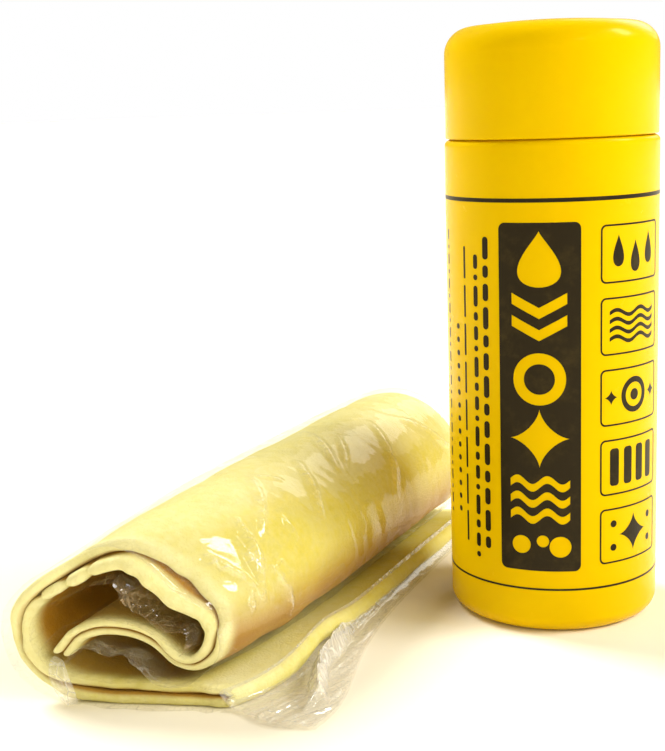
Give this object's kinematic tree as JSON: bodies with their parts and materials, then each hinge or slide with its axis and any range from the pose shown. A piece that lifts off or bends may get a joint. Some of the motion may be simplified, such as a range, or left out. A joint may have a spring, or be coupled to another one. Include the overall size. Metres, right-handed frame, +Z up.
{
  "type": "synthetic chamois cloth with storage tube",
  "caption": "Absorbent synthetic chamois cloth, folded and rolled in its clear bag, lying beside its round storage tube with a pull-off cap.",
  "frame": {"origin": "middle of the storage tube's flat foot, on the surface it stands on", "axes": "+Z up along the tube's axis, -Y towards the viewer of the picture, +X to the viewer's right; the rolled cloth lies on the -X side"},
  "size_m": [0.1655, 0.1653, 0.1685],
  "materials": {
    "tube_plastic": "blow-moulded polyethylene, satin gloss",
    "cap_plastic": "moulded polyethylene, satin gloss",
    "chamois": "matt, soft, finely porous",
    "bag_film": "clear glossy film, creased"
  },
  "bodies": {
    "tube": {"storage_tube": "tube_plastic"},
    "cap": {"cap": "cap_plastic"},
    "bundle": {"chamois_cloth": "chamois", "clear_bag": "bag_film"}
  },
  "joints": [
    {"name": "cap_pull", "type": "slide", "parent": "tube", "child": "cap", "axis": [0, 0, 1], "range_m": [0, 0.11]},
    {"name": "bundle_lift", "type": "slide", "parent": "tube", "child": "bundle", "axis": [0, 0, 1], "range_m": [0, 0.2]}
  ]
}
